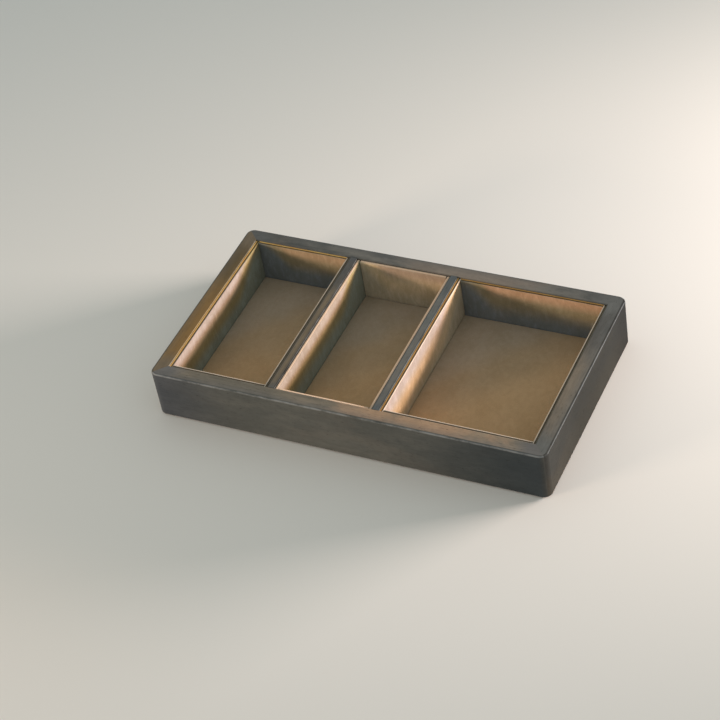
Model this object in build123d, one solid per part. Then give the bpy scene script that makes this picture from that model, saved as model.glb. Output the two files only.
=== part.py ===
from build123d import *
import os

# A valet tray: a mitred wooden frame with two dividers and three bays lined with felt on board.
# Lengths are in millimetres. X runs along the width, Y to the back and Z up. The origin is
# under the middle of the tray, on the surface that it stands on.

# The tray as a whole
tray_width = 300.0
tray_depth = 165.0
tray_height = 40.0
wall_thickness = 11.0
divider_thickness = 6.0
left_bay_width = 78.0
middle_bay_width = 74.0

# Corners and edges of the frame
corner_radius = 6.0
top_edge_radius = 1.5
foot_edge_radius = 0.8
inside_edge_radius = 0.6

# The base: a panel let into a rebate from below, and the felt glued under it
base_panel_thickness = 3.0
base_panel_gap = 0.3
rebate_width = 5.5
base_felt_thickness = 1.0
base_felt_inset = 1.5

# Stopped housings in the front and back walls, and the divider tongues that they hold
housing_depth = 3.0
housing_stop = 5.0
housing_side_gap = 0.1
tongue_end_gap = 0.2
divider_edge_radius = 0.8

# Liners: felt on board, with the floor pads dropped in last
liner_board_thickness = 1.5
floor_board_thickness = 1.0
felt_thickness = 1.0
liner_drop = 1.0
liner_end_gap = 0.2
floor_pad_gap = 0.2
fold_radius = 0.8

# How far a cutter runs out of the wood
cut_overrun = 5.0

# Heights and spans worked out from the sizes above
frame_underside = base_felt_thickness
panel_top = frame_underside + base_panel_thickness
liner_top = tray_height - liner_drop
inside_depth = tray_depth - 2 * wall_thickness
housing_radius = divider_thickness / 2 + housing_side_gap
tongue_top = tray_height - housing_stop - housing_radius
liner_thickness = liner_board_thickness + felt_thickness

# Where the bays and dividers lie along X, from left to right
left_bay_start = -tray_width / 2 + wall_thickness
left_divider_start = left_bay_start + left_bay_width
middle_bay_start = left_divider_start + divider_thickness
right_divider_start = middle_bay_start + middle_bay_width
right_bay_start = right_divider_start + divider_thickness
right_bay_end = tray_width / 2 - wall_thickness

# Each bay's name, its wooden faces along X, and whether its felt is turned over the board
bays = [
    ("left_bay", left_bay_start, left_divider_start, False),
    ("middle_bay", middle_bay_start, right_divider_start, True),
    ("right_bay", right_bay_start, right_bay_end, False),
]

# Each divider's name and the middle of its thickness
dividers = [
    ("left_divider", left_divider_start + divider_thickness / 2),
    ("right_divider", right_divider_start + divider_thickness / 2),
]


def along_x(section, length):
    """A section drawn in Y and Z, run along X to both sides of the middle."""
    return extrude(Plane.YZ * section, length / 2, both=True)


def slab(x_low, x_high, y_low, y_high, z_low, z_high):
    """A flat board between three pairs of faces."""
    middle = Pos((x_low + x_high) / 2, (y_low + y_high) / 2, (z_low + z_high) / 2)
    return middle * Box(x_high - x_low, y_high - y_low, z_high - z_low)


def frame_envelope():
    """The outer form of the frame: round corners, a softened rim and a softened foot."""
    plan = RectangleRounded(tray_width, tray_depth, corner_radius)
    block = Pos(0, 0, frame_underside) * extrude(plan, tray_height - frame_underside)
    block = fillet(block.edges().group_by(Axis.Z)[-1], top_edge_radius)
    return fillet(block.edges().group_by(Axis.Z)[0], foot_edge_radius)


def wall_moulding(length):
    """One side's moulding with both ends mitred, its outer face on Y = 0 and its inside at +Y."""
    rebate_face = wall_thickness - rebate_width
    section = make_face(Polyline(
        (0, frame_underside),
        (0, tray_height),
        (wall_thickness, tray_height),
        (wall_thickness, panel_top),
        (rebate_face, panel_top),
        (rebate_face, frame_underside),
        close=True,
    ))
    inside_corner = section.vertices().sort_by(lambda corner: corner.X + corner.Y)[-1]
    section = fillet(inside_corner, inside_edge_radius)
    mitred_plan = make_face(Polyline(
        (-length / 2, 0),
        (length / 2, 0),
        (length / 2 - wall_thickness, wall_thickness),
        (-length / 2 + wall_thickness, wall_thickness),
        close=True,
    ))
    return along_x(section, length) & extrude(mitred_plan, tray_height)


def frame_wall(length, reach, turn):
    """A side of the frame, turned about Z from the front and shaped to the frame's outer form."""
    return Rot(0, 0, turn) * Pos(0, -reach, 0) * wall_moulding(length) & frame_envelope()


def housing_cutters():
    """A slot with a round upper end for each divider, sunk in the front and back walls."""
    foot = panel_top - cut_overrun
    slot = Pos(0, (foot + tongue_top) / 2) * Rectangle(2 * housing_radius, tongue_top - foot)
    slot += Pos(0, tongue_top) * Circle(housing_radius)
    cutter = extrude(Plane.XZ * slot, housing_depth + cut_overrun)
    in_front = Pos(0, cut_overrun - inside_depth / 2, 0) * cutter
    pair = in_front + mirror(in_front, Plane.XZ)
    return [Pos(middle, 0, 0) * pair for name, middle in dividers]


def divider_board():
    """A divider with a tongue at each end, notched under the rim so that no housing shows."""
    shoulder = inside_depth / 2
    tongue_end = shoulder + housing_depth - tongue_end_gap
    outline = make_face(Polyline(
        (-shoulder, tray_height),
        (shoulder, tray_height),
        (shoulder, tongue_top),
        (tongue_end, tongue_top),
        (tongue_end, panel_top),
        (-tongue_end, panel_top),
        (-tongue_end, tongue_top),
        (-shoulder, tongue_top),
        close=True,
    ))
    board = along_x(outline, divider_thickness)
    top_edges = board.edges().filter_by(Axis.Y).group_by(Axis.Z)[-1]
    return fillet(top_edges, divider_edge_radius)


def base_panel():
    """The panel that fills the rebate, less a gap all round."""
    inset = wall_thickness - rebate_width + base_panel_gap
    half_width = tray_width / 2 - inset
    half_depth = tray_depth / 2 - inset
    return slab(-half_width, half_width, -half_depth, half_depth, frame_underside, panel_top)


def base_felt():
    """The felt under the tray, a little inside the foot of the frame."""
    radius = corner_radius - base_felt_inset
    plan = RectangleRounded(
        tray_width - 2 * base_felt_inset, tray_depth - 2 * base_felt_inset, radius
    )
    return extrude(plan, base_felt_thickness)


def liner_board(length, folded):
    """The board of a wall liner, standing against Y = 0. Folded felt leaves room above it."""
    top = liner_top - felt_thickness if folded else liner_top
    return slab(-length / 2, length / 2, 0, liner_board_thickness, panel_top, top)


def liner_felt(length, folded):
    """The felt on the face of a liner board, and over its top edge where it is folded."""
    back_face = liner_board_thickness
    face = liner_thickness
    if not folded:
        return slab(-length / 2, length / 2, back_face, face, panel_top, liner_top)
    section = make_face(Polyline(
        (back_face, panel_top),
        (face, panel_top),
        (face, liner_top),
        (0, liner_top),
        (0, liner_top - felt_thickness),
        (back_face, liner_top - felt_thickness),
        close=True,
    ))
    fold = section.vertices().sort_by(lambda corner: corner.X + corner.Y)[-1]
    return along_x(fillet(fold, fold_radius), length)


def bay_liners(x_low, x_high, folded):
    """The side liners run the whole depth, and the front and back ones fit between them."""
    middle = (x_low + x_high) / 2
    side_length = inside_depth - 2 * liner_end_gap
    end_length = x_high - x_low - 2 * (liner_thickness + liner_end_gap)
    places = {
        "left": (Pos(x_low, 0, 0) * Rot(0, 0, -90), side_length),
        "right": (Pos(x_high, 0, 0) * Rot(0, 0, 90), side_length),
        "front": (Pos(middle, -inside_depth / 2, 0), end_length),
        "back": (Pos(middle, inside_depth / 2, 0) * Rot(0, 0, 180), end_length),
    }
    pieces = {}
    for side, (place, length) in places.items():
        pieces[side + "_board"] = place * liner_board(length, folded)
        pieces[side + "_felt"] = place * liner_felt(length, folded)
    return pieces


def bay_floor(x_low, x_high):
    """The floor pad of a bay: a board on the base panel with felt on it, inside the wall felts."""
    margin = liner_thickness + floor_pad_gap
    half_depth = inside_depth / 2 - margin
    board_top = panel_top + floor_board_thickness
    felt_top = board_top + felt_thickness
    plan = (x_low + margin, x_high - margin, -half_depth, half_depth)
    return {
        "floor_board": slab(*plan, panel_top, board_top),
        "floor_felt": slab(*plan, board_top, felt_top),
    }


def tray_pieces():
    """Every piece of the tray by its name."""
    housings = housing_cutters()
    pieces = {
        "front_wall": frame_wall(tray_width, tray_depth / 2, 0) - housings,
        "right_wall": frame_wall(tray_depth, tray_width / 2, 90),
        "back_wall": frame_wall(tray_width, tray_depth / 2, 180) - housings,
        "left_wall": frame_wall(tray_depth, tray_width / 2, -90),
        "base_panel": base_panel(),
        "base_felt": base_felt(),
    }
    for name, middle in dividers:
        pieces[name] = Pos(middle, 0, 0) * divider_board()
    for bay, x_low, x_high, folded in bays:
        lining = bay_liners(x_low, x_high, folded) | bay_floor(x_low, x_high)
        for name, piece in lining.items():
            pieces[bay + "_" + name] = piece
    return pieces


os.makedirs("parts", exist_ok=True)
for name, piece in tray_pieces().items():
    export_step(piece, "parts/" + name + ".step")
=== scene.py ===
import math

import bmesh
import bpy
from mathutils import Matrix, Quaternion, Vector, noise


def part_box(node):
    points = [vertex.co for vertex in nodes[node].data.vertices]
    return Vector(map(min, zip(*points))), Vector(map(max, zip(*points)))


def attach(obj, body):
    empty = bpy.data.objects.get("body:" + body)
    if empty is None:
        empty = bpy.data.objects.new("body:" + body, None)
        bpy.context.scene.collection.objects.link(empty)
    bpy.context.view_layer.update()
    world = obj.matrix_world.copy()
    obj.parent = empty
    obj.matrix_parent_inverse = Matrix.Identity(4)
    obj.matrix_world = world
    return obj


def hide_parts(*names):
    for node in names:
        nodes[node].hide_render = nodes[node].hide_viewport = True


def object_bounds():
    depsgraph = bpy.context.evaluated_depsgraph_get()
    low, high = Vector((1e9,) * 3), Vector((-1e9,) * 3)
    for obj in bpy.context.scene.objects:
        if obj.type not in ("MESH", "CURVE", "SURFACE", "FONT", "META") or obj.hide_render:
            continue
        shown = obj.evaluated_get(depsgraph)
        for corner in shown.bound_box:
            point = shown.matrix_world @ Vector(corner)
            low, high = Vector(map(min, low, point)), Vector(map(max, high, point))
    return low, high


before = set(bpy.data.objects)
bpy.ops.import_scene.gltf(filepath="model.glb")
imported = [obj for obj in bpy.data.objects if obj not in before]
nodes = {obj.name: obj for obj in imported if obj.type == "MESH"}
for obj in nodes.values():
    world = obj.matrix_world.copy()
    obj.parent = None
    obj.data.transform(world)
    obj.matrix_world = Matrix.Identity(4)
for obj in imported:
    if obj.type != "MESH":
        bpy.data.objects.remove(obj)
cad_box = [list(corner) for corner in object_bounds()]

# Lengths are in metres, in the frame of the CAD model. The patterns of the finishes, and the places
# on a piece that a finish asks for, are in millimetres.
MM = 0.001


def tone(red, green, blue):
    """A colour as given on a screen, 0 to 255 a channel, as the linear colour that a shader takes."""
    def linear(channel):
        share = channel / 255
        return share / 12.92 if share <= 0.04045 else ((share + 0.055) / 1.055) ** 2.4
    return tuple(linear(channel) for channel in (red, green, blue)) + (1.0,)


# The three bays, and the wall felts' turns about Z from the front one, which faces the back
BAYS = ["left_bay", "middle_bay", "right_bay"]
FOLDED_BAY = "middle_bay"
SIDE_TURNS = {"front": 0, "left": -90, "back": 180, "right": 90}

# Felt: its thickness in the CAD and here, its soft edges, how far it waves off its board, the round
# corners of the one under the tray, and where the seeds of the floors' waves begin
CAD_FELT = 1.0 * MM
FELT_THICKNESS = 0.88 * MM
FELT_EDGE_RADIUS = 0.36 * MM
FELT_EDGE_ANGLE = math.radians(50)
FELT_CELL = 3.0 * MM
FELT_WAVE = 0.1 * MM
FELT_WAVELENGTH = 21.0 * MM
CUT_WAVE = 0.1 * MM
CUT_WAVELENGTH = 6.0 * MM
BASE_FELT_CORNER = 4.5 * MM
FLOOR_SEED = 20

# The top of a wall felt, as steps of its middle line: how far to the bay from the middle of the
# felt's thickness, and how far down from its top. The folded one ends against the wood.
LOOSE_TOP = [(0.0, 3.0), (0.05, 1.6), (0.16, 0.8), (0.24, 0.0)]
FOLDED_TOP = [(0.0, 3.0), (0.0, 1.3), (-0.04, 0.72), (-0.2, 0.33), (-0.55, 0.1), (-1.2, 0.04), (-1.9, 0.06)]

# The frame's lacquered top, in millimetres: where it begins and where it is full. The roundings of
# the top's edges are sizes of the frame, as the rounding of its corners is.
TRAY_HEIGHT = cad_box[1][2] / MM
TOP_MARGIN = (TRAY_HEIGHT - 1.1, TRAY_HEIGHT - 0.3)
WALL_ROUNDING, DIVIDER_ROUNDING = 1.5, 0.8
CORNER_ROUNDING = 6.0

# Where the stain differs, each from its beginning to its full strength, in millimetres: beside the
# lighter place on the top, partly wear and partly a painted sheen, low on the sides, and before the
# rounding of a corner. Then the tones of the pores and of the pale top edges, partly wear and partly
# a painted highlight, and a cast that makes the wood a touch warmer than its tones.
WORN_AND_SHEEN_REACH = (95.0, 15.0)
FOOT_WARMTH = (30.0, 8.0)
CORNER_STAIN = (-24.0, -6.0)
PORE_TONE, RUB_AND_HIGHLIGHT_TONE = tone(26, 22, 20), tone(150, 148, 148)
RED_CAST, BLUE_CAST = 1.02, 0.97

# The edges of the liner boards: bare, or darkened halfway or fully as painted shade, each with its
# dark and light plies. A dark line beside the felt, partly glue and partly painted shade in the gap,
# runs from here on through the board's thickness, in millimetres.
BARE_BOARD = (tone(236, 163, 86), tone(255, 208, 130))
HALF_SHADED_BOARD_EDGE = (tone(186, 132, 72), tone(220, 166, 100))
SHADED_BOARD_EDGE = (tone(88, 80, 68), tone(112, 102, 86))
BOARD_SPECKS, GLUE_AND_GAP_SHADE = tone(112, 76, 40), tone(58, 40, 24)
GLUE_AND_GAP_LINE = (0.85, 1.1)

# How deep the relief of each finish is
GRAIN_DEPTH, SWELL_DEPTH = 0.03 * MM, 0.12 * MM
FUZZ_DEPTH, NAP_DEPTH = 0.16 * MM, 0.18 * MM
PLY_DEPTH, SHRED_DEPTH = 0.05 * MM, 0.08 * MM

# Where the camera stands: the object is seen from the front, the right and above
CAMERA_AIM = Vector((-0.0197, -0.0099, 0.020))
CAMERA_AZIMUTH = math.radians(31.2)
CAMERA_ELEVATION = math.radians(42.2)
CAMERA_ROLL = math.radians(-10.6)
CAMERA_DISTANCE = 1.567
CAMERA_LENS = 110.0
SENSOR_WIDTH = 36.0

# The studio: each lamp's name, place, aim, width and height, beam in degrees, watts and colour, then
# the light of the room, what is seen behind the floor, and the floor
LAMPS = [
    ("low strip", (0.85, 0.60, 0.128), (0.0, 0.0, 0.03), (0.50, 0.06), 70, 2.6, (0.72, 0.88, 1.0)),
    ("high strip", (0.85, 0.60, 0.186), (0.0, 0.0, 0.03), (0.50, 0.06), 70, 2.6, (1.0, 0.76, 0.58)),
    ("front left", (-1.10, -1.20, 0.26), (0.0, 0.0, 0.02), (0.44, 0.16), 70, 2.5, (1.0, 0.84, 0.66)),
]
ROOM_LIGHT = 0.48
ROOM_COLOUR = (0.82, 0.99, 1.0, 1.0)
BACKDROP_COLOUR = (0.93, 0.93, 0.93, 1.0)
STUDIO_FLOOR_TONE = tone(236, 226, 220)
STUDIO_FLOOR_RADIUS = 4.0
STUDIO_FLOOR_DROP = 0.05 * MM


def place_camera():
    """A long lens at the photograph's viewing angle."""
    lens = bpy.data.cameras.new("camera")
    lens.lens = CAMERA_LENS
    lens.sensor_width = SENSOR_WIDTH
    camera = bpy.data.objects.new("camera", lens)
    bpy.context.scene.collection.objects.link(camera)
    back = Vector((
        math.sin(CAMERA_AZIMUTH) * math.cos(CAMERA_ELEVATION),
        -math.cos(CAMERA_AZIMUTH) * math.cos(CAMERA_ELEVATION),
        math.sin(CAMERA_ELEVATION),
    ))
    camera.location = CAMERA_AIM + back * CAMERA_DISTANCE
    camera.rotation_mode = "QUATERNION"
    upright = (-back).to_track_quat("-Z", "Y")
    camera.rotation_quaternion = upright @ Quaternion((0, 0, 1), CAMERA_ROLL)
    bpy.context.scene.camera = camera


class Wire:
    """A socket whose value changes over a surface. Arithmetic on it adds the Math nodes."""

    def __init__(self, finish, socket):
        self.finish = finish
        self.socket = socket

    def maths(self, operation, first, second=0.0):
        settings = {"operation": operation}
        return self.finish.node("Math", settings, {0: first, 1: second})

    def __add__(self, other):
        return self.maths("ADD", self, other)

    def __radd__(self, other):
        return self.maths("ADD", other, self)

    def __sub__(self, other):
        return self.maths("SUBTRACT", self, other)

    def __rsub__(self, other):
        return self.maths("SUBTRACT", other, self)

    def __mul__(self, other):
        return self.maths("MULTIPLY", self, other)

    def __rmul__(self, other):
        return self.maths("MULTIPLY", other, self)

    def __truediv__(self, other):
        return self.maths("DIVIDE", self, other)

    def __pow__(self, other):
        return self.maths("POWER", self, other)

    def __abs__(self):
        return self.maths("ABSOLUTE", self)

    def least(self, other):
        return self.maths("MINIMUM", self, other)

    def most(self, other):
        return self.maths("MAXIMUM", self, other)


class Finish:
    """A material that is being made, with its nodes."""

    def __init__(self, name):
        self.material = bpy.data.materials.new(name)
        self.material.use_nodes = True
        self.tree = self.material.node_tree
        self.tree.nodes.clear()
        self.place = self.node("TexCoord", output="Object")

    def node(self, kind, settings=None, inputs=None, output=0):
        """A node of any kind. Its settings are set first, then its inputs get values or links."""
        made = self.tree.nodes.new("ShaderNode" + kind)
        for name, value in (settings or {}).items():
            setattr(made, name, value)
        for name, value in (inputs or {}).items():
            if isinstance(value, Wire):
                self.tree.links.new(value.socket, made.inputs[name])
            else:
                made.inputs[name].default_value = value
        return Wire(self, made.outputs[output]) if made.outputs else None

    def in_millimetres(self, turn=0.0, start=(0.0, 0.0, 0.0)):
        """The place on the piece in millimetres, turned about Z and moved to a part of the pattern."""
        return self.node("Mapping", {}, {
            "Vector": self.place,
            "Location": start,
            "Rotation": (0.0, 0.0, math.radians(turn)),
            "Scale": (1 / MM,) * 3,
        })

    def stretched(self, place, factors):
        """A place whose pattern is drawn out along each axis with a factor under 1."""
        settings = {"operation": "MULTIPLY"}
        return self.node("VectorMath", settings, {0: place, 1: factors})

    def axes(self, place):
        """The three coordinates of a place."""
        apart = self.node("SeparateXYZ", {}, {0: place})
        others = apart.socket.node.outputs
        return apart, Wire(self, others[1]), Wire(self, others[2])

    def cloud(self, place, size, detail=2.0, roughness=0.5, distortion=0.0):
        """Noise whose lumps are about size millimetres across."""
        return self.node("TexNoise", {}, {
            "Vector": place,
            "Scale": 1 / size,
            "Detail": detail,
            "Roughness": roughness,
            "Distortion": distortion,
        })

    def between(self, value, low, high):
        """0 below low, 1 above high and a smooth step from one to the other. It falls if low is over high."""
        settings = {"interpolation_type": "SMOOTHSTEP"}
        return self.node("MapRange", settings, {"Value": value, 1: low, 2: high})

    def mixed(self, share, first, second, way="MIX"):
        """The first colour with a share of the second laid over it, in one of the ways to blend."""
        settings = {"data_type": "RGBA", "blend_type": way}
        return self.node("Mix", settings, {0: share, 6: first, 7: second}, output=2)

    def bumps(self, height, depth, under=None):
        """Relief of that depth in metres, on top of the relief under it."""
        inputs = {"Height": height, "Distance": depth, "Strength": 1.0}
        if under is not None:
            inputs["Normal"] = under
        return self.node("Bump", {}, inputs)

    def coat(self, **sockets):
        """Closes the material with a Principled shader, and gives the material."""
        inputs = {name.replace("_", " "): value for name, value in sockets.items()}
        shader = self.node("BsdfPrincipled", {}, inputs)
        self.node("OutputMaterial", {}, {"Surface": shader})
        return self.material


class Grain:
    """The patterns of a piece of wood, from its clouds down to its pores. X runs along its fibres."""

    def __init__(self, finish, place):
        along = finish.stretched(place, (0.45, 1.0, 1.0))
        fibres = finish.stretched(place, (0.035, 1.0, 1.0))
        self.clouds = finish.cloud(along, 22.0, detail=4.0, roughness=0.6)
        self.patches = finish.cloud(along, 32.0, detail=5.0, roughness=0.6, distortion=0.6)
        self.streaks = finish.cloud(fibres, 1.7, detail=4.0, roughness=0.62)
        self.fine = finish.cloud(fibres, 0.45, detail=2.0)
        self.figure = finish.cloud(finish.stretched(place, (0.08, 1.0, 1.0)), 9.0, detail=3.0)
        self.mottle = finish.cloud(along, 3.4, detail=3.0, roughness=0.65)
        holes = finish.cloud(finish.stretched(place, (0.1, 1.0, 1.0)), 0.42, detail=1.0)
        self.pores = finish.between(holes, 0.66, 0.74)


class BoardPlaces:
    """Where a point is on a board of the frame. length and height are in millimetres, end runs from
    -1 to 1 along the board, and the others run from 0 to 1: on_top is the lacquered top, outer the
    strip beside its outline, rub_and_highlight_crest the crest of its rounded edge, where a pale line
    is painted, partly wear and partly a painted highlight, and corner the upright corners at the
    board's far end, which keep less of the sides' painted shade."""

    def __init__(self, finish, form, turn):
        half_length, middle, reach, corner_radius, rounding = form
        length, breadth, height = finish.axes(finish.in_millimetres(turn))
        past_end = abs(length) - (half_length - corner_radius)
        past_side = abs(breadth - middle) - (reach - corner_radius)
        outward = (past_end.most(0.0) ** 2 + past_side.most(0.0) ** 2) ** 0.5
        inset = corner_radius - outward - past_end.most(past_side).least(0.0)
        past_rounding = finish.between(inset, 0.6 * rounding, 1.3 * rounding)
        rim = (height - TRAY_HEIGHT) - inset + rounding
        past_corner = (length - (half_length - corner_radius)).least(past_side).most(0.0)
        beside_outline = finish.between(inset, 5.3 * rounding, 0.7 * rounding) * 0.45

        self.length = length
        self.height = height
        self.end = length / half_length
        self.on_top = finish.between(height, *TOP_MARGIN).least(past_rounding)
        self.rub_and_highlight_crest = finish.between(rim, 0.15 * rounding, 0.4 * rounding)
        self.corner = past_corner / (0.7 * corner_radius)
        self.outer = beside_outline.most(finish.between(past_end, *CORNER_STAIN) * 0.88)


def stained_wood(
    name, form, turn, start, tones, warm_share, worn_and_sheen_at, foot_warmth, side_tints_and_shade, rub_and_highlight_share, gloss,
):
    """Stained hardwood, lacquered on its top. The form is what board_form gives. turn brings the
    pattern's X to the board's length, and start is where the pattern begins. The stain's tones are
    a dark one, a middle one, a warm one and the one near the outline. The warm one covers at most
    warm_share, mostly around worn_and_sheen_at along the board, where the top is lighter, partly wear
    and partly a painted sheen, and foot_warmth is how much more of it shows low on the sides.
    side_tints_and_shade is what the sides are multiplied by at one end, halfway and at the other end,
    partly their own colour and partly painted shade. rub_and_highlight_share is how far the top edge
    is pale, partly wear and partly a painted highlight, and gloss is how much the sides shine."""
    finish = Finish(name)
    grain = Grain(finish, finish.in_millimetres(turn, start))
    board = BoardPlaces(finish, form, turn)

    # The stain: its clouds and patches on the top, and more evenly on the sides
    dark, middling, warm, outer = tones
    # On the top the stain is lighter and warmer around worn_and_sheen_at: partly wear, partly a painted sheen
    worn_and_sheen = (finish.between(abs(board.length - worn_and_sheen_at), *WORN_AND_SHEEN_REACH) * 0.3 - 0.08) * board.on_top
    darkened = 0.5 + (finish.between(grain.clouds + worn_and_sheen, 0.36, 0.66) - 0.5) * (0.4 + board.on_top * 0.6)
    stain = finish.mixed(darkened, dark, middling)
    foot = finish.between(board.height, *FOOT_WARMTH) * foot_warmth
    warm_cover = warm_share * (0.15 + foot + board.on_top * 0.85)
    warmed = finish.between(grain.patches + worn_and_sheen + foot, 0.48, 0.72) * warm_cover
    stain = finish.mixed(warmed, stain, warm)
    stain = finish.mixed(board.outer * board.on_top, stain, outer)

    # How light the wood is from place to place, and its cast
    top_light = 0.21 + grain.figure * 0.4 + grain.streaks * 0.5 + grain.mottle * 0.5 + grain.fine * 0.18
    side_light = 0.5 + grain.clouds * 0.2 + grain.streaks * 0.24 + grain.mottle * 0.42 + grain.fine * 0.12
    lightness = side_light + board.on_top * (top_light - side_light)
    cast = finish.node("CombineColor", {}, {0: lightness * RED_CAST, 1: lightness, 2: lightness * BLUE_CAST})
    stain = finish.mixed(1.0, stain, cast, "MULTIPLY")

    # The sides' colour, multiplied along the board partly as their own colour and partly as painted
    # shade, which the upright corners keep less of, then the pores, and the pale line on the top edge,
    # partly wear and partly a painted highlight
    near, halfway, far = side_tints_and_shade
    side_tint_and_shade = finish.mixed(finish.between(board.end, -1.0, -0.5), near, halfway)
    side_tint_and_shade = finish.mixed(finish.between(board.end, 0.1, 1.0), side_tint_and_shade, far)
    side_stain_and_shade = finish.mixed(1.0, stain, side_tint_and_shade, "MULTIPLY")
    side_stain_and_shade = finish.mixed(board.corner ** 2 * 0.3, side_stain_and_shade, stain)
    stain = finish.mixed(board.on_top, side_stain_and_shade, stain)
    stain = finish.mixed(grain.pores * 0.55, stain, PORE_TONE)
    # A pale line on the crest of the top edge: partly wear, partly a painted highlight
    pale = board.rub_and_highlight_crest * finish.between(grain.mottle + grain.clouds, 0.7, 1.2)
    stain = finish.mixed(pale * rub_and_highlight_share, stain, RUB_AND_HIGHLIGHT_TONE)

    relief = finish.bumps(grain.streaks * 0.6 + grain.fine * 0.25 - grain.pores * 0.8, GRAIN_DEPTH)
    relief = finish.bumps(grain.clouds, SWELL_DEPTH, relief)
    return finish.coat(
        Base_Color=stain,
        Roughness=0.42 + grain.clouds * 0.14 + grain.pores * 0.2,
        Specular_IOR_Level=gloss,
        Coat_Weight=0.04 + board.on_top * 0.08 - grain.pores * 0.03,
        Coat_Roughness=0.3,
        Normal=relief,
    )


def board_edge(name, side, low, dark, light):
    """Board with plies that show along its cut edge, bare or darkened as painted shade, and a dark line
    beside the felt, partly glue and partly painted shade in the gap. low is where the board's
    thickness begins, seen along its side's turn."""
    finish = Finish(name)
    place = finish.in_millimetres(-SIDE_TURNS[side])
    plies = finish.cloud(finish.stretched(place, (0.02, 1.0, 0.05)), 0.28, detail=1.0)
    specks = finish.cloud(finish.stretched(place, (0.3, 1.0, 1.0)), 0.35, detail=3.0, roughness=0.65)
    across = finish.axes(place)[1] - low
    shade = finish.mixed(finish.between(plies, 0.38, 0.6), dark, light)
    shade = finish.mixed(finish.between(specks, 0.5, 0.75) * 0.4, shade, BOARD_SPECKS)
    # A dark line beside the felt: partly glue, partly painted shade in the gap
    shade = finish.mixed(finish.between(across, *GLUE_AND_GAP_LINE) * 0.85, shade, GLUE_AND_GAP_SHADE)
    return finish.coat(
        Base_Color=shade,
        Roughness=0.8 + specks * 0.15,
        Specular_IOR_Level=0.25,
        Normal=finish.bumps(plies * 0.6 + specks * 0.5, PLY_DEPTH),
    )


def painted_light_tint(finish, corner, climb, marks, tints):
    """What a felt's tones are multiplied by as painted light and shade: three tints at three
    heights. They climb towards the bay's back left corner, as painted shade in that corner. climb is
    how far from the corner that begins, how far from it that is full, and how high they get."""
    begin, full, rise = climb
    across, along, height = finish.axes(finish.in_millimetres())
    from_corner = (across - corner[0]) + (corner[1] - along)
    level = height - finish.between(from_corner, begin, full) * rise
    low, middle, high = marks
    low_tint, middle_tint, high_tint = tints
    tint = finish.mixed(finish.between(level, low, middle), low_tint, middle_tint)
    return finish.mixed(finish.between(level, middle, high), tint, high_tint)


def felt(name, stretch, start, contrast, tones, shading=None, edge=None):
    """Brushed felt with a suede nap. stretch draws the nap out along the way that it was brushed,
    start is where its pattern begins, and contrast is how strongly it shows. The tones are the
    body's, a shaded one and a light one. shading is what painted_light_tint takes, for painted light
    and shade, and edge is the height where the top edge's paler tone begins, the height where it is
    full, and that tone, partly the cut edge and partly a painted highlight."""
    finish = Finish(name)
    place = finish.in_millimetres(0.0, start)
    brushed = finish.stretched(place, stretch)
    nap = finish.cloud(brushed, 4.2, detail=4.0, roughness=0.65, distortion=0.3)
    broad = finish.cloud(brushed, 17.0, detail=2.0)
    strands = finish.cloud(brushed, 0.55, detail=3.0, roughness=0.7)
    fuzz = finish.cloud(place, 0.22, detail=2.0, roughness=0.7)

    body, shade, light = tones
    colour = finish.mixed(finish.between(broad, 0.35, 0.7) * (0.55 * contrast), body, shade)
    colour = finish.mixed(finish.between(nap, 0.46, 0.68) * (0.5 * contrast), colour, light)
    colour = finish.mixed(finish.between(nap, 0.5, 0.32) * (0.35 * contrast), colour, shade)
    lightness = 0.72 + strands * 0.36 + fuzz * 0.2
    grey = finish.node("CombineColor", {}, {0: lightness, 1: lightness, 2: lightness})
    colour = finish.mixed(1.0, colour, grey, "MULTIPLY")
    # Painted light and shade: darker or lighter by height, and darker towards the bay's back left corner
    if shading is not None:
        colour = finish.mixed(1.0, colour, painted_light_tint(finish, *shading), "MULTIPLY")
    # The paler top edge: on cut felt partly its edge and partly a painted highlight, on the folded felt a
    # painted highlight
    if edge is not None:
        begin, full, edge_highlight_tone = edge
        height = finish.axes(finish.in_millimetres())[2]
        colour = finish.mixed(finish.between(height, begin, full), colour, edge_highlight_tone)

    relief = finish.bumps(fuzz * 0.5 + strands * 0.7, FUZZ_DEPTH)
    relief = finish.bumps(nap, NAP_DEPTH, relief)
    return finish.coat(
        Base_Color=colour,
        Roughness=0.88 + fuzz * 0.1,
        Specular_IOR_Level=0.15,
        Sheen_Weight=0.18,
        Sheen_Roughness=0.45,
        Sheen_Tint=tone(255, 226, 200),
        Normal=relief,
    )


def hardboard(name):
    """Pressed brown fibreboard for the base panel."""
    finish = Finish(name)
    place = finish.in_millimetres()
    shreds = finish.cloud(finish.stretched(place, (0.25, 1.0, 1.0)), 1.1, detail=4.0, roughness=0.7)
    crossing = finish.cloud(finish.stretched(place, (1.0, 0.25, 1.0)), 1.3, detail=4.0, roughness=0.7)
    flakes = shreds * 0.5 + crossing * 0.5
    shade = finish.mixed(finish.between(flakes, 0.38, 0.62), tone(86, 58, 38), tone(134, 98, 66))
    return finish.coat(
        Base_Color=shade,
        Roughness=0.6 + flakes * 0.2,
        Normal=finish.bumps(flakes, SHRED_DEPTH),
    )


def finish_node(name, material):
    """Gives a solid of the CAD its material."""
    nodes[name].data.materials.clear()
    nodes[name].data.materials.append(material)


def cells(length):
    """How many cells a stretch of felt is cut into."""
    return max(1, round(length / FELT_CELL))


def flat_sheet(bm, width, length, columns, rows):
    """A flat rectangle in XY, cut into cells."""
    made = bmesh.ops.create_grid(bm, x_segments=columns, y_segments=rows, size=0.5)
    bmesh.ops.scale(bm, vec=(width, length, 1.0), verts=made["verts"])
    return made["verts"]


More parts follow.
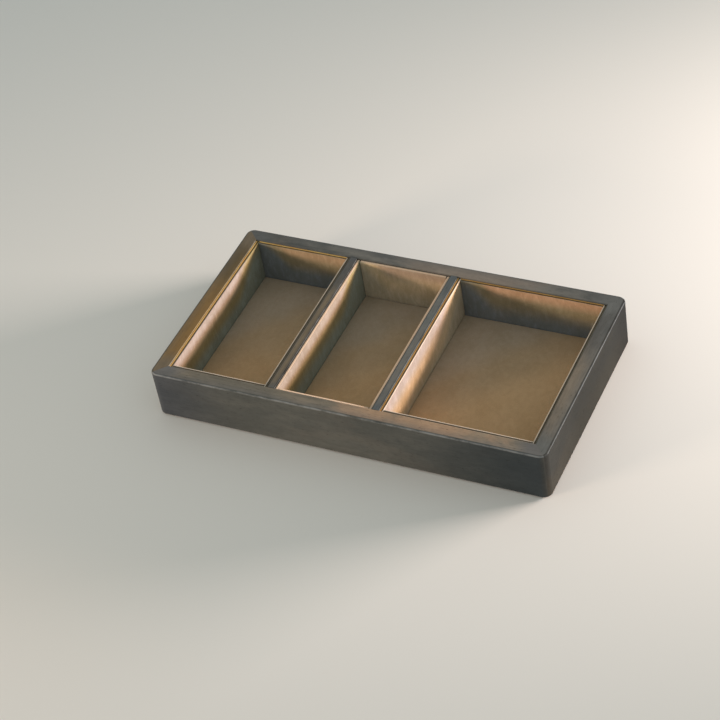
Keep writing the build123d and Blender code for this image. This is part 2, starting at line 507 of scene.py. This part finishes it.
def upright_sheet(bm, line, length, rows):
    """Sweeps a line in Y and Z along X, and cuts it into cells. Its first stretch gets the rows."""
    start = [bm.verts.new((-length / 2, y, z)) for y, z in line]
    edges = [bm.edges.new(pair) for pair in zip(start, start[1:])]
    bmesh.ops.subdivide_edges(bm, edges=edges[:1], cuts=rows - 1)
    swept = bmesh.ops.extrude_edge_only(bm, edges=bm.edges[:])
    moved = [part for part in swept["geom"] if isinstance(part, bmesh.types.BMVert)]
    bmesh.ops.translate(bm, vec=(length, 0.0, 0.0), verts=moved)
    long_edges = [e for e in bm.edges if abs(e.verts[0].co.x - e.verts[1].co.x) > length / 2]
    bmesh.ops.subdivide_edges(bm, edges=long_edges, cuts=cells(length) - 1)


def ripple(bm, verts, direction, seed):
    """Waves the sheet gently to and fro along direction. Each seed takes another part of the noise."""
    for vert in verts:
        wave = noise.noise(vert.co / FELT_WAVELENGTH + Vector((seed * 7.3, 0.0, seed * 3.1)))
        bmesh.ops.translate(bm, vec=direction * wave * FELT_WAVE / 2, verts=[vert])


def trim_unevenly(bm, verts, seed):
    """Cuts the top edge a little high and low, as scissors do."""
    for vert in verts:
        slip = noise.noise(vert.co / CUT_WAVELENGTH + Vector((seed * 5.9, seed * 2.3, 0.0)))
        bmesh.ops.translate(bm, vec=(0.0, 0.0, slip * CUT_WAVE), verts=[vert])


def thicken(piece):
    """Gives a sheet its thickness, half to each side, and rounds its edges."""
    solid = piece.modifiers.new("thickness", "SOLIDIFY")
    solid.thickness = FELT_THICKNESS
    solid.offset = 0.0
    solid.use_even_offset = True
    soft = piece.modifiers.new("soft edges", "BEVEL")
    soft.width = FELT_EDGE_RADIUS
    soft.segments = 3
    soft.limit_method = "ANGLE"
    soft.angle_limit = FELT_EDGE_ANGLE


def add_piece(name, bm, finish):
    """Puts a finished bmesh into the scene as a piece of the object."""
    bmesh.ops.recalc_face_normals(bm, faces=bm.faces)
    mesh = bpy.data.meshes.new(name)
    bm.to_mesh(mesh)
    bm.free()
    for face in mesh.polygons:
        face.use_smooth = True
    mesh.materials.append(finish)
    piece = bpy.data.objects.new(name, mesh)
    bpy.context.scene.collection.objects.link(piece)
    return piece


def wall_felt(bay, side, finish, seed):
    """A felt that stands on its liner board, or is folded over the board's top edge."""
    node = f"{bay}_{side}_felt"
    low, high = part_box(node)
    size = high - low
    lengthwise = side in ("front", "back")
    length, depth = (size.x, size.y) if lengthwise else (size.y, size.x)
    folded = bay == FOLDED_BAY

    # The middle line, with the board at -Y. The steps at its top take the place of one row of cells.
    middle = depth / 2 - CAD_FELT / 2
    top = size.z - (FELT_THICKNESS / 2 if folded else 0.0)
    steps = FOLDED_TOP if folded else LOOSE_TOP
    line = [(middle, 0.0)] + [(middle + out * MM, top - down * MM) for out, down in steps]
    bm = bmesh.new()
    upright_sheet(bm, line, length, cells(size.z) - 1)
    if not folded:
        trim_unevenly(bm, [v for v in bm.verts if v.co.z > top - MM / 2], seed)
    ripple(bm, bm.verts[:], Vector((0.0, 1.0, 0.0)), seed)
    centre = Vector(((low.x + high.x) / 2, (low.y + high.y) / 2, low.z))
    turn = Matrix.Rotation(math.radians(SIDE_TURNS[side]), 4, "Z")
    bmesh.ops.transform(bm, matrix=Matrix.Translation(centre) @ turn, verts=bm.verts[:])

    piece = add_piece(f"{bay}_{side}_liner", bm, finish)
    thicken(piece)
    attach(piece, "root")
    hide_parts(node)


def floor_felt(bay, finish, seed):
    """The felt pad in the bottom of a bay, a little wavy and rounded along its edges."""
    node = f"{bay}_floor_felt"
    low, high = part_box(node)
    size = high - low
    bm = bmesh.new()
    verts = flat_sheet(bm, size.x, size.y, cells(size.x), cells(size.y))
    ripple(bm, verts, Vector((0.0, 0.0, 1.0)), seed)
    bmesh.ops.translate(bm, vec=(low + high) / 2, verts=verts)
    piece = add_piece(f"{bay}_floor_pad", bm, finish)
    thicken(piece)
    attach(piece, "root")
    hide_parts(node)


def underside_felt(finish):
    """The felt that the tray stands on, with round corners."""
    low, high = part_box("base_felt")
    size = high - low
    bm = bmesh.new()
    verts = flat_sheet(bm, size.x, size.y, 1, 1)
    bmesh.ops.bevel(
        bm, geom=verts, offset=BASE_FELT_CORNER, segments=6, profile=0.5, affect="VERTICES", material=-1,
    )
    bmesh.ops.translate(bm, vec=(low + high) / 2, verts=bm.verts[:])
    piece = add_piece("underside_felt", bm, finish)
    solid = piece.modifiers.new("thickness", "SOLIDIFY")
    solid.thickness = size.z
    solid.offset = 0.0
    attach(piece, "root")
    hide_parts("base_felt")


# The wood of each board, as stained_wood takes it
# The dividers' sides are darkened as painted shade, which also dims their lit rounded top edges
DIVIDER_SIDE_SHADE = ((0.2, 0.19, 0.17, 1.0),) * 3
# The side tints darken the sides along each board as painted shade, but the left wall's tint its own colour
WOOD = {
    "front_wall": dict(
        turn=0.0,
        start=(31.0, 4.0, 9.0),
        tones=(tone(103, 96, 86), tone(135, 121, 105), tone(171, 138, 112), tone(99, 97, 98)),
        warm_share=0.85,
        worn_and_sheen_at=62.0,
        foot_warmth=0.0,
        side_tints_and_shade=((0.28, 0.37, 0.57, 1.0), (0.45, 0.55, 0.68, 1.0), (0.16, 0.24, 0.36, 1.0)),
        rub_and_highlight_share=0.6,
        gloss=0.12,
    ),
    "back_wall": dict(
        turn=0.0,
        start=(100.0, 204.0, -116.0),
        tones=(tone(65, 66, 65), tone(105, 101, 96), tone(128, 112, 100), tone(86, 86, 85)),
        warm_share=0.5,
        worn_and_sheen_at=45.0,
        foot_warmth=0.0,
        side_tints_and_shade=((0.5, 0.55, 0.6, 1.0), (0.45, 0.5, 0.55, 1.0), (0.35, 0.38, 0.42, 1.0)),
        rub_and_highlight_share=0.6,
        gloss=0.12,
    ),
    "left_wall": dict(
        turn=90.0,
        start=(293.0, 92.0, 133.0),
        tones=(tone(74, 61, 36), tone(97, 77, 41), tone(126, 94, 48), tone(103, 90, 73)),
        warm_share=0.8,
        worn_and_sheen_at=35.0,
        foot_warmth=0.0,
        side_tints_and_shade=((0.5, 0.68, 1.3, 1.0),) * 3,
        rub_and_highlight_share=0.1,
        gloss=0.2,
    ),
    "right_wall": dict(
        turn=90.0,
        start=(127.0, 93.0, 70.0),
        tones=(tone(80, 78, 76), tone(100, 95, 91), tone(121, 108, 94), tone(96, 96, 95)),
        warm_share=0.7,
        worn_and_sheen_at=50.0,
        foot_warmth=0.45,
        side_tints_and_shade=((0.05, 0.054, 0.06, 1.0), (0.13, 0.14, 0.13, 1.0), (0.24, 0.25, 0.24, 1.0)),
        rub_and_highlight_share=0.1,
        gloss=0.06,
    ),
    "left_divider": dict(
        turn=90.0,
        start=(519.0, 55.0, 13.0),
        tones=(tone(76, 74, 73), tone(101, 93, 83), tone(132, 110, 82), tone(82, 84, 87)),
        warm_share=0.6,
        worn_and_sheen_at=10.0,
        foot_warmth=0.0,
        side_tints_and_shade=DIVIDER_SIDE_SHADE,
        rub_and_highlight_share=0.3,
        gloss=0.03,
    ),
    "right_divider": dict(
        turn=90.0,
        start=(337.0, 39.0, 81.0),
        tones=(tone(75, 79, 81), tone(100, 101, 99), tone(129, 117, 106), tone(91, 95, 99)),
        warm_share=0.5,
        worn_and_sheen_at=10.0,
        foot_warmth=0.0,
        side_tints_and_shade=DIVIDER_SIDE_SHADE,
        rub_and_highlight_share=0.3,
        gloss=0.03,
    ),
}

# The felts' tones: the body's, a shaded one and a light one. Then how their nap is brushed, along
# the axis with a factor under 1, how strongly it shows, and how far on in the pattern each next bay,
# side and floor begins.
WALL_FELT = (tone(168, 144, 120), tone(148, 125, 100), tone(186, 162, 139))
FLOOR_FELT = (tone(172, 141, 108), tone(150, 120, 84), tone(184, 154, 120))
BASE_FELT = (tone(52, 44, 38), tone(38, 32, 28), tone(66, 56, 48))
WALL_NAP, FLOOR_NAP, EVEN_NAP = (1.0, 1.0, 0.4), (1.0, 0.8, 1.0), (1.0, 1.0, 1.0)
STRONG, FAINT = 1.0, 0.5
BAY_STEP, SIDE_STEP, FLOOR_STEP = 40.0, 90.0, 57.0

# How far the tints climb towards a bay's back left corner, where the painted shade deepens, and at
# which three heights the wall felts have which tints, as painted light and shade: the left and back
# ones have their own, and the others share one that is darker and cooler low down. The floors lie
# at one height, a little over their marks, and their climb of 1 mm brings all three tints through
# it, as painted shade near the corner and lighter further off.
SIDE_CLIMB, BACK_CLIMB, FLOOR_CLIMB = (45.0, 8.0, 18.0), (30.0, 4.0, 20.0), (200.0, 20.0, 1.0)
# The named tints: deep and cool painted shade low down, an olive painted penumbra under the lit part, a dull
# painted shade, and painted light where a felt is lit low down, pale in the middle and bluer at the foot
DEEP_SHADE, COOL_SHADE = (0.46, 0.68, 1.05, 1.0), (0.65, 0.95, 1.15, 1.0)
OLIVE_PENUMBRA, DULL_PAINTED_SHADE = (0.8, 0.82, 0.55, 1.0), (0.72, 0.78, 0.7, 1.0)
PAINTED_LIGHT, PAINTED_LOW_LIGHT = (1.65, 1.65, 1.5, 1.0), (1.3, 1.45, 1.55, 1.0)
# Each row's tints are painted light and shade, from the foot to the lit top
WALL_SHADING = {
    ("left_bay", "left"): ((10.0, 22.0, 34.0), (COOL_SHADE, OLIVE_PENUMBRA, (0.95, 1.0, 1.25, 1.0))),
    ("middle_bay", "left"): ((12.0, 25.0, 34.0), (COOL_SHADE, OLIVE_PENUMBRA, (0.8, 0.83, 0.97, 1.0))),
    ("right_bay", "left"): ((2.0, 16.0, 34.0), (PAINTED_LOW_LIGHT, PAINTED_LIGHT, (0.85, 0.9, 1.15, 1.0))),
    ("left_bay", "back"): ((14.0, 27.0, 37.0), (DEEP_SHADE, DULL_PAINTED_SHADE, (1.15, 1.05, 0.95, 1.0))),
    ("middle_bay", "back"): ((8.0, 24.0, 37.0), (PAINTED_LOW_LIGHT, PAINTED_LIGHT, (1.05, 1.0, 1.05, 1.0))),
    ("right_bay", "back"): ((10.0, 27.0, 38.0), (DEEP_SHADE, DULL_PAINTED_SHADE, (1.4, 1.15, 1.05, 1.0))),
}
# The other wall felts get painted shade low down: darker and cooler at the foot
FOOT_SHADE_TINTS = ((0.75, 0.92, 1.08, 1.0), (0.87, 0.96, 1.04, 1.0), (1.0, 1.0, 1.0, 1.0))
OTHER_SIDE_SHADING = ((12.0, 25.0, 37.0), FOOT_SHADE_TINTS)
# Painted shade on the floors: darker and cooler near the bay's back left corner, lighter further off
FLOOR_TINTS = ((1.0, 1.14, 1.45, 1.0), (1.1, 1.12, 1.18, 1.0), (1.46, 1.35, 1.27, 1.0))
UNDER_FLOOR_TOP = (0.97, 0.7, 0.3)

# The wall felts are paler at their top edge, but for the plain ones: a cut edge partly for the
# felt's edge and partly as a painted highlight, the folded one as a painted highlight. The margin is
# how far under the top that begins and is full. The liner boards' edges are darkened as painted
# shade, but for the ones named here, which are bare or darkened only halfway.
EDGE_MARGIN = (0.4, 0.1)
CUT_EDGE_AND_HIGHLIGHT, FOLDED_EDGE_HIGHLIGHT = tone(226, 199, 178), tone(226, 188, 160)
PLAIN_EDGES = [("left_bay", "left"), ("left_bay", "back"), ("right_bay", "back")]
BOARD_EDGES = {
    ("left_bay", "left"): BARE_BOARD,
    ("left_bay", "back"): BARE_BOARD,
    ("right_bay", "left"): HALF_SHADED_BOARD_EDGE,
    ("right_bay", "back"): HALF_SHADED_BOARD_EDGE,
}


def board_form(board, turn):
    """A board's half length, where its middle lies across it, how far its faces are from that
    middle, and how round its corners and its top edges are, in millimetres. The walls go by the
    outline of the whole tray, and the dividers by their own."""
    tray_reach = Vector(cad_box[1]) / MM
    half_length, reach = (tray_reach.y, tray_reach.x) if turn else (tray_reach.x, tray_reach.y)
    if board.endswith("wall"):
        return half_length, 0.0, reach, CORNER_ROUNDING, WALL_ROUNDING
    low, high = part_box(board)
    middle, half_thickness = (high.x + low.x) / 2 / MM, (high.x - low.x) / 2 / MM
    return half_length, middle, half_thickness, DIVIDER_ROUNDING, DIVIDER_ROUNDING


def dress_frame():
    """Stains the four walls and the two dividers."""
    for board, wood in WOOD.items():
        form = board_form(board, wood["turn"])
        finish_node(board, stained_wood(board + " stain", form, **wood))


def line_side(bay, side, corner):
    """Gives one side of a bay its felt, and its board the look of its edge."""
    place = (bay, side)
    bay_number, side_number = BAYS.index(bay), list(SIDE_TURNS).index(side)
    edge = None
    if place not in PLAIN_EDGES:
        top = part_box(f"{bay}_{side}_felt")[1].z / MM
        begin, full = (top - depth for depth in EDGE_MARGIN)
        edge = (begin, full, FOLDED_EDGE_HIGHLIGHT if bay == FOLDED_BAY else CUT_EDGE_AND_HIGHLIGHT)
    climb = BACK_CLIMB if side == "back" else SIDE_CLIMB
    shading = (corner, climb, *WALL_SHADING.get(place, OTHER_SIDE_SHADING))
    start = (BAY_STEP * bay_number + SIDE_STEP * side_number, 11.0, 5.0)
    standing = felt(f"{bay} {side} felt", WALL_NAP, start, STRONG, WALL_FELT, shading, edge)
    wall_felt(bay, side, standing, len(SIDE_TURNS) * bay_number + side_number)

    board = f"{bay}_{side}_board"
    low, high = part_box(board)
    thickness_low = {"front": low.y, "left": low.x, "back": -high.y, "right": -high.x}[side] / MM
    shades = BOARD_EDGES.get(place, SHADED_BOARD_EDGE)
    finish_node(board, board_edge(board + " edge", side, thickness_low, *shades))


def line_bay(bay):
    """Lines the sides of a bay and lays its floor."""
    corner = (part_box(f"{bay}_left_felt")[0].x / MM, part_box(f"{bay}_back_felt")[1].y / MM)
    for side in SIDE_TURNS:
        line_side(bay, side, corner)
    bay_number = BAYS.index(bay)
    floor_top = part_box(f"{bay}_floor_felt")[1].z / MM
    marks = [floor_top - depth for depth in UNDER_FLOOR_TOP]
    start = (23.0, FLOOR_STEP * bay_number, 3.0)
    # The floor's painted shade, deeper near the bay's back left corner
    shading = (corner, FLOOR_CLIMB, marks, FLOOR_TINTS)
    lying = felt(bay + " floor felt", FLOOR_NAP, start, FAINT, FLOOR_FELT, shading)
    floor_felt(bay, lying, FLOOR_SEED + bay_number)
    finish_node(f"{bay}_floor_board", board_edge(bay + " floor board", "front", 0.0, *BARE_BOARD))


def lamp(name, place, aim, size, beam, power, colour):
    """A soft rectangular lamp that the camera doesn't see."""
    light = bpy.data.lights.new(name, "AREA")
    light.shape = "RECTANGLE"
    light.size, light.size_y = size
    light.spread = math.radians(beam)
    light.energy = power
    light.color = colour
    shade = bpy.data.objects.new(name, light)
    bpy.context.scene.collection.objects.link(shade)
    shade.location = place
    shade.rotation_mode = "QUATERNION"
    shade.rotation_quaternion = (Vector(aim) - Vector(place)).to_track_quat("-Z", "Y")
    shade.visible_camera = False


def pale_room():
    """A room that gives a little light from all round. The camera, glass and shine see a backdrop."""
    world = bpy.data.worlds.new("pale room")
    bpy.context.scene.world = world
    world.use_nodes = True
    tree = world.node_tree
    tree.nodes.clear()
    rays = tree.nodes.new("ShaderNodeLightPath")
    seen = rays.outputs["Is Camera Ray"]
    for kind in ("Is Transmission Ray", "Is Glossy Ray"):
        either = tree.nodes.new("ShaderNodeMath")
        either.operation = "MAXIMUM"
        tree.links.new(seen, either.inputs[0])
        tree.links.new(rays.outputs[kind], either.inputs[1])
        seen = either.outputs[0]
    room = tree.nodes.new("ShaderNodeBackground")
    room.inputs["Color"].default_value = ROOM_COLOUR
    room.inputs["Strength"].default_value = ROOM_LIGHT
    backdrop = tree.nodes.new("ShaderNodeBackground")
    backdrop.inputs["Color"].default_value = BACKDROP_COLOUR
    mix = tree.nodes.new("ShaderNodeMixShader")
    tree.links.new(seen, mix.inputs[0])
    tree.links.new(room.outputs[0], mix.inputs[1])
    tree.links.new(backdrop.outputs[0], mix.inputs[2])
    out = tree.nodes.new("ShaderNodeOutputWorld")
    tree.links.new(mix.outputs[0], out.inputs[0])


def lay_floor():
    """A plain pale floor under the tray."""
    bm = bmesh.new()
    bmesh.ops.create_circle(bm, cap_ends=True, segments=96, radius=STUDIO_FLOOR_RADIUS)
    bmesh.ops.translate(bm, vec=(0.0, 0.0, -STUDIO_FLOOR_DROP), verts=bm.verts[:])
    mesh = bpy.data.meshes.new("floor")
    bm.to_mesh(mesh)
    bm.free()
    finish = Finish("pale floor")
    mesh.materials.append(finish.coat(Base_Color=STUDIO_FLOOR_TONE, Roughness=0.9, Specular_IOR_Level=0.1))
    floor = bpy.data.objects.new("floor", mesh)
    bpy.context.scene.collection.objects.link(floor)


place_camera()
dress_frame()
for bay in BAYS:
    line_bay(bay)
finish_node("base_panel", hardboard("base panel"))
underside_felt(felt("underside felt", EVEN_NAP, (0.0, 0.0, 0.0), STRONG, BASE_FELT))

for lamp_settings in LAMPS:
    lamp(*lamp_settings)
pale_room()
lay_floor()
bpy.context.scene.view_settings.view_transform = "Standard"
